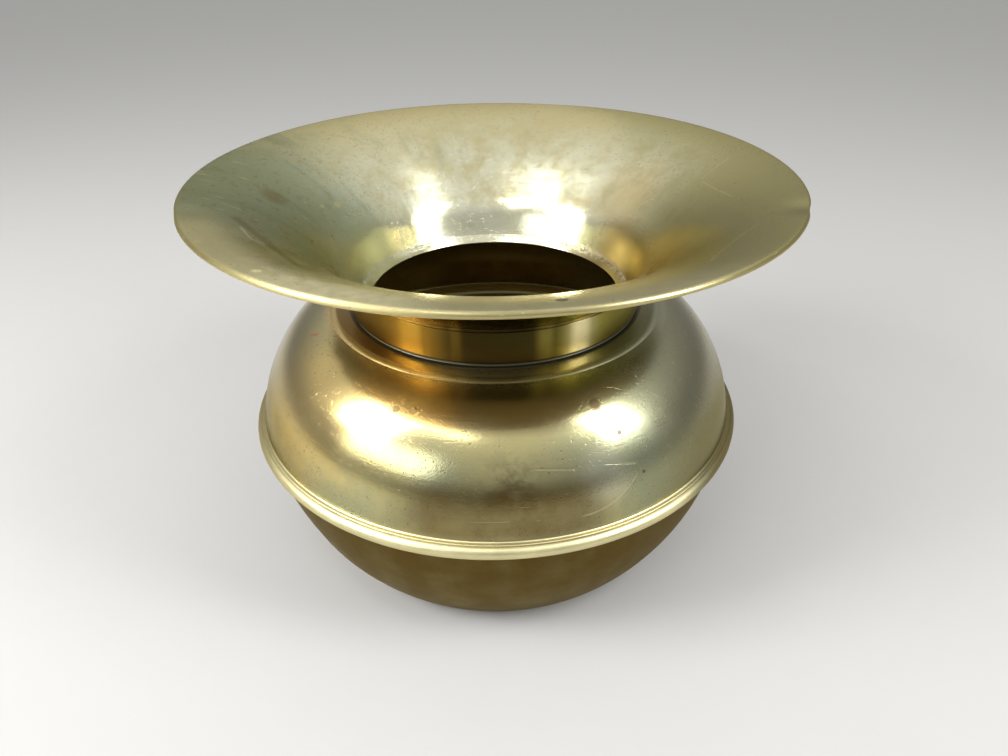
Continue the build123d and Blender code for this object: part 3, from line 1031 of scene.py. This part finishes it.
class BuildMouth(bpy.types.Operator):
    """Spins the flared mouth: throat lip, steep wall, bend, flare and rolled rim"""

    bl_idname = "spittoon.mouth"
    bl_label = "Flared mouth"
    segments = 256
    sharpest = 18.0  # degrees, above the turns of the rolled rim
    dents = (
        Dent(-19.4, 137.0, 191.3, 7.0, 0.8),
        Dent(-148.0, 112.0, 184.5, 12.0, 0.5),
        Dent(-133.0, 107.0, 181.5, 9.0, 0.4),
        Dent(-160.0, 134.0, 191.0, 8.0, 0.5),
        Dent(75.0, 120.0, 187.5, 15.0, 0.5),
    )

    def execute(self, context):
        sizes = context.scene.spittoon_sizes
        wall_slope, flare_slope = math.degrees(sizes.throat_slope), math.degrees(sizes.flare_slope)
        throat_edge = np.array([sizes.throat_radius, sizes.throat_height])
        lip_corner = throat_edge + (sizes.throat_lip_width, sizes.throat_lip_rise)
        bend_start, flare_start = mouth_bend(sizes)
        bend = arc_from(bend_start, wall_slope, sizes.bend_radius, flare_slope - wall_slope, steps=12)
        flare = arc_to(flare_start, flare_slope, (sizes.flare_edge, sizes.rim_top), steps=36)
        last = flare[-1] - flare[-2]
        heading = math.degrees(math.atan2(last[1], last[0]))
        roll_radius = sizes.wire / 2.0 + sizes.wire_room + sizes.sheet
        roll = arc_from(flare[-1], heading, roll_radius, -math.degrees(sizes.roll_turn), steps=24)
        straight = np.linspace(bend[-1], flare[0], 5)
        wall = np.linspace(lip_corner, bend_start, 4)
        path = joined(throat_edge, wall, bend, straight, flare, roll)
        section = sheet_section(softened(path, sizes.edge_rounding, self.sharpest), -sizes.sheet)
        points = carried_round(section, self.segments, mouth_sway, self.dents)
        material = mouth_brass(sizes, context.scene.spittoon_finish)
        place_piece("mouth_flare", points, section, material, "mouth", "flared_mouth")
        return {"FINISHED"}


class BuildNeck(bpy.types.Operator):
    """Makes the neck sleeve and the lumpy solder seam that holds it under the flare"""

    bl_idname = "spittoon.neck"
    bl_label = "Neck and solder"
    tube_segments = 192
    seam_segments = 320  # enough for the lumps
    tube_rounding = 0.3 * MM
    seam_rounding = 0.2 * MM

    def execute(self, context):
        sizes = context.scene.spittoon_sizes
        finish = context.scene.spittoon_finish
        inside = sizes.neck_radius - sizes.sheet
        seam_corner = point_under_bend(sizes, sizes.neck_radius)
        corners = np.array([
            (inside, sizes.neck_foot),
            (sizes.neck_radius, sizes.neck_foot),
            (sizes.neck_radius, 0.5 * (sizes.neck_foot + seam_corner[1])),
            seam_corner,
            point_under_bend(sizes, inside),
        ])
        section = solid_section(corners, self.tube_rounding)
        section = section._replace(hidden=(section.points[:, 0] < inside + 0.1 * MM).astype(float))
        points = carried_round(section, self.tube_segments)
        material = neck_brass(sizes, finish)
        place_piece("neck_tube", points, section, material, "mouth", "neck_sleeve")

        foot = seam_corner - (0.0, sizes.solder_leg)
        toe = point_under_bend(sizes, sizes.neck_radius + sizes.solder_leg)
        belly = 0.45 * (foot + toe) + 0.10 * seam_corner
        seam = solid_section(np.array([seam_corner, foot, belly, toe]), self.seam_rounding)
        points = carried_round(seam, self.seam_segments)
        # The seam's section shrinks towards its corner by two waves round the axis
        angles = np.linspace(0.0, FULL_TURN, self.seam_segments, endpoint=False)
        lumps = 0.75 + 0.08 * np.sin(11.0 * angles + 1.0) + 0.06 * np.sin(23.0 * angles)
        heart = np.column_stack([np.cos(angles), np.sin(angles), np.ones(self.seam_segments)])[:, None]
        heart = heart * (seam_corner[0], seam_corner[0], seam_corner[1])
        points = heart + (points - heart) * lumps[:, None, None]
        place_piece("neck_seam", points, seam, seam_solder(finish), "mouth", "neck_solder")
        return {"FINISHED"}


class DressRimWire(bpy.types.Operator):
    """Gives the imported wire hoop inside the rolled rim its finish"""

    bl_idname = "spittoon.rim_wire"
    bl_label = "Rim wire"

    def execute(self, context):
        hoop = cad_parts["rim_wire"]
        hoop.data.materials.clear()
        hoop.data.materials.append(drawn_wire(context.scene.spittoon_finish))
        return {"FINISHED"}


# Studio


class Lamp(NamedTuple):
    """A soft box: its place in degrees round and above the bowl, its size in metres and its radiance."""

    name: str
    around: float
    above: float
    width: float
    height: float
    radiance: float


class BuildStage(bpy.types.Operator):
    """Lays the floor, hangs the soft boxes and sets the camera"""

    bl_idname = "spittoon.stage"
    bl_label = "Stage"
    aim = (0.0, 0.0, 0.13)  # point that the soft boxes face
    distance = 1.1  # of the soft boxes from it
    floor_radius = 3.0
    floor_sides = 96
    floor_mottle = 0.97  # how dark its darker patches are
    floor_roughness = 0.85
    horizon = (0.29, 0.30, 0.315)
    overhead = (0.86, 0.86, 0.84)
    eye = (0.0056, -0.3553, 0.3039)  # where the camera stands
    pitch = 0.563  # radians that it looks down
    roll = 0.006  # radians that it leans
    focal_length = 780.0 / 1008.0  # in widths of the photograph
    sensor = 36.0  # millimetres wide
    lamps = (
        Lamp("left_soft_box", -112.0, 34.0, 0.40, 0.50, 18.0),
        Lamp("front_soft_box", -145.0, 49.0, 0.60, 0.10, 7.0),
        Lamp("high_soft_box", -140.0, 65.0, 0.62, 0.08, 9.0),
        Lamp("low_fill", -132.0, 17.0, 0.85, 0.30, 3.4),
        Lamp("right_soft_box", 116.0, 38.0, 0.30, 0.76, 13.0),
    )

    def execute(self, context):
        finish = context.scene.spittoon_finish
        self.lay_floor(finish)
        self.hang_lamps()
        self.light_world(context.scene)
        self.set_camera(context.scene)
        context.scene.view_settings.view_transform = "Standard"
        return {"FINISHED"}

    def lay_floor(self, finish):
        """A round floor, faintly mottled."""
        angles = np.linspace(0.0, FULL_TURN, self.floor_sides, endpoint=False)
        rim = self.floor_radius * np.column_stack([np.cos(angles), np.sin(angles), 0.0 * angles])
        mesh = bpy.data.meshes.new("floor")
        mesh.from_pydata(rim.tolist(), [], [list(range(self.floor_sides))])
        floor = bpy.data.objects.new("floor", mesh)
        bpy.context.collection.objects.link(floor)
        material = bpy.data.materials.new("pale_floor")
        material.use_nodes = True
        tree = material.node_tree
        point = Flow(tree).add("ShaderNodeTexCoord", output="Object")
        shade = point.noise(40.0, 4.0, 0.6)
        darker = tuple(self.floor_mottle * channel for channel in finish.floor)
        base = shade.between(finish.floor, darker)
        shader = tree.nodes["Principled BSDF"]
        tree.links.new(base.socket, shader.inputs["Base Color"])
        shader.inputs["Roughness"].default_value = self.floor_roughness
        mesh.materials.append(material)

    def hang_lamps(self):
        """Each box faces the bowl. A box of radiance L and area A gives off pi * L * A watts."""
        for lamp in self.lamps:
            around, above = math.radians(lamp.around), math.radians(lamp.above)
            towards = np.array([
                math.sin(around) * math.cos(above), math.cos(around) * math.cos(above), math.sin(above)
            ])
            light = bpy.data.lights.new(lamp.name, "AREA")
            light.shape = "RECTANGLE"
            light.size, light.size_y = lamp.width, lamp.height
            light.energy = math.pi * lamp.radiance * lamp.width * lamp.height
            box = bpy.data.objects.new(lamp.name, light)
            bpy.context.collection.objects.link(box)
            box.location = np.array(self.aim) + self.distance * towards
            from_box = Vector(-towards)
            box.rotation_euler = from_box.to_track_quat("-Z", "Y").to_euler()
            box.visible_camera = False

    def light_world(self, scene):
        """A plain sky that is paler overhead than at the horizon, as a room with a white ceiling is."""
        world = bpy.data.worlds.new("studio")
        scene.world = world
        world.use_nodes = True
        tree = world.node_tree
        view = Flow(tree).add("ShaderNodeTexCoord", output="Generated")
        up = view.dot((0.0, 0.0, 1.0))
        sky = up.smooth(0.05, 0.85).between(self.horizon, self.overhead)
        tree.links.new(sky.socket, tree.nodes["Background"].inputs["Color"])
        tree.nodes["Background"].inputs["Strength"].default_value = 1.0

    def set_camera(self, scene):
        """The photograph's viewpoint: close, and about 32 degrees down."""
        camera = bpy.data.cameras.new("camera")
        camera.sensor_width = self.sensor
        camera.lens = self.sensor * self.focal_length
        holder = bpy.data.objects.new("camera", camera)
        bpy.context.collection.objects.link(holder)
        holder.location = self.eye
        holder.rotation_euler = (math.pi / 2.0 - self.pitch, self.roll, 0.0)
        scene.camera = holder


class SpittoonPanel(bpy.types.Panel):
    """Lists the sizes, the finish and the pieces"""

    bl_idname = "SPITTOON_PT_pieces"
    bl_label = "Spittoon"
    bl_space_type = "VIEW_3D"
    bl_region_type = "UI"
    bl_category = "Spittoon"

    def draw(self, context):
        column = self.layout.column()
        for operator in OPERATORS:
            column.operator(operator.bl_idname)
        for group in (context.scene.spittoon_sizes, context.scene.spittoon_finish):
            box = self.layout.box()
            for name in group.__annotations__:
                box.prop(group, name)


OPERATORS = (BuildLowerBowl, BuildShoulder, BuildMouth, BuildNeck, DressRimWire, BuildStage)
CLASSES = (SpittoonSizes, SpittoonFinish, *OPERATORS, SpittoonPanel)


def register():
    """Registers the classes and hangs the sizes and the finish on the scene."""
    for cls in CLASSES:
        bpy.utils.register_class(cls)
    bpy.types.Scene.spittoon_sizes = bpy.props.PointerProperty(type=SpittoonSizes)
    bpy.types.Scene.spittoon_finish = bpy.props.PointerProperty(type=SpittoonFinish)


def unregister():
    """Takes back what register did, in reverse."""
    del bpy.types.Scene.spittoon_finish
    del bpy.types.Scene.spittoon_sizes
    for cls in reversed(CLASSES):
        bpy.utils.unregister_class(cls)


def main():
    """Builds every piece and the stage in order."""
    register()
    bpy.ops.spittoon.lower_bowl()
    bpy.ops.spittoon.shoulder()
    bpy.ops.spittoon.mouth()
    bpy.ops.spittoon.neck()
    bpy.ops.spittoon.rim_wire()
    bpy.ops.spittoon.stage()


if __name__ == "__main__":
    main()
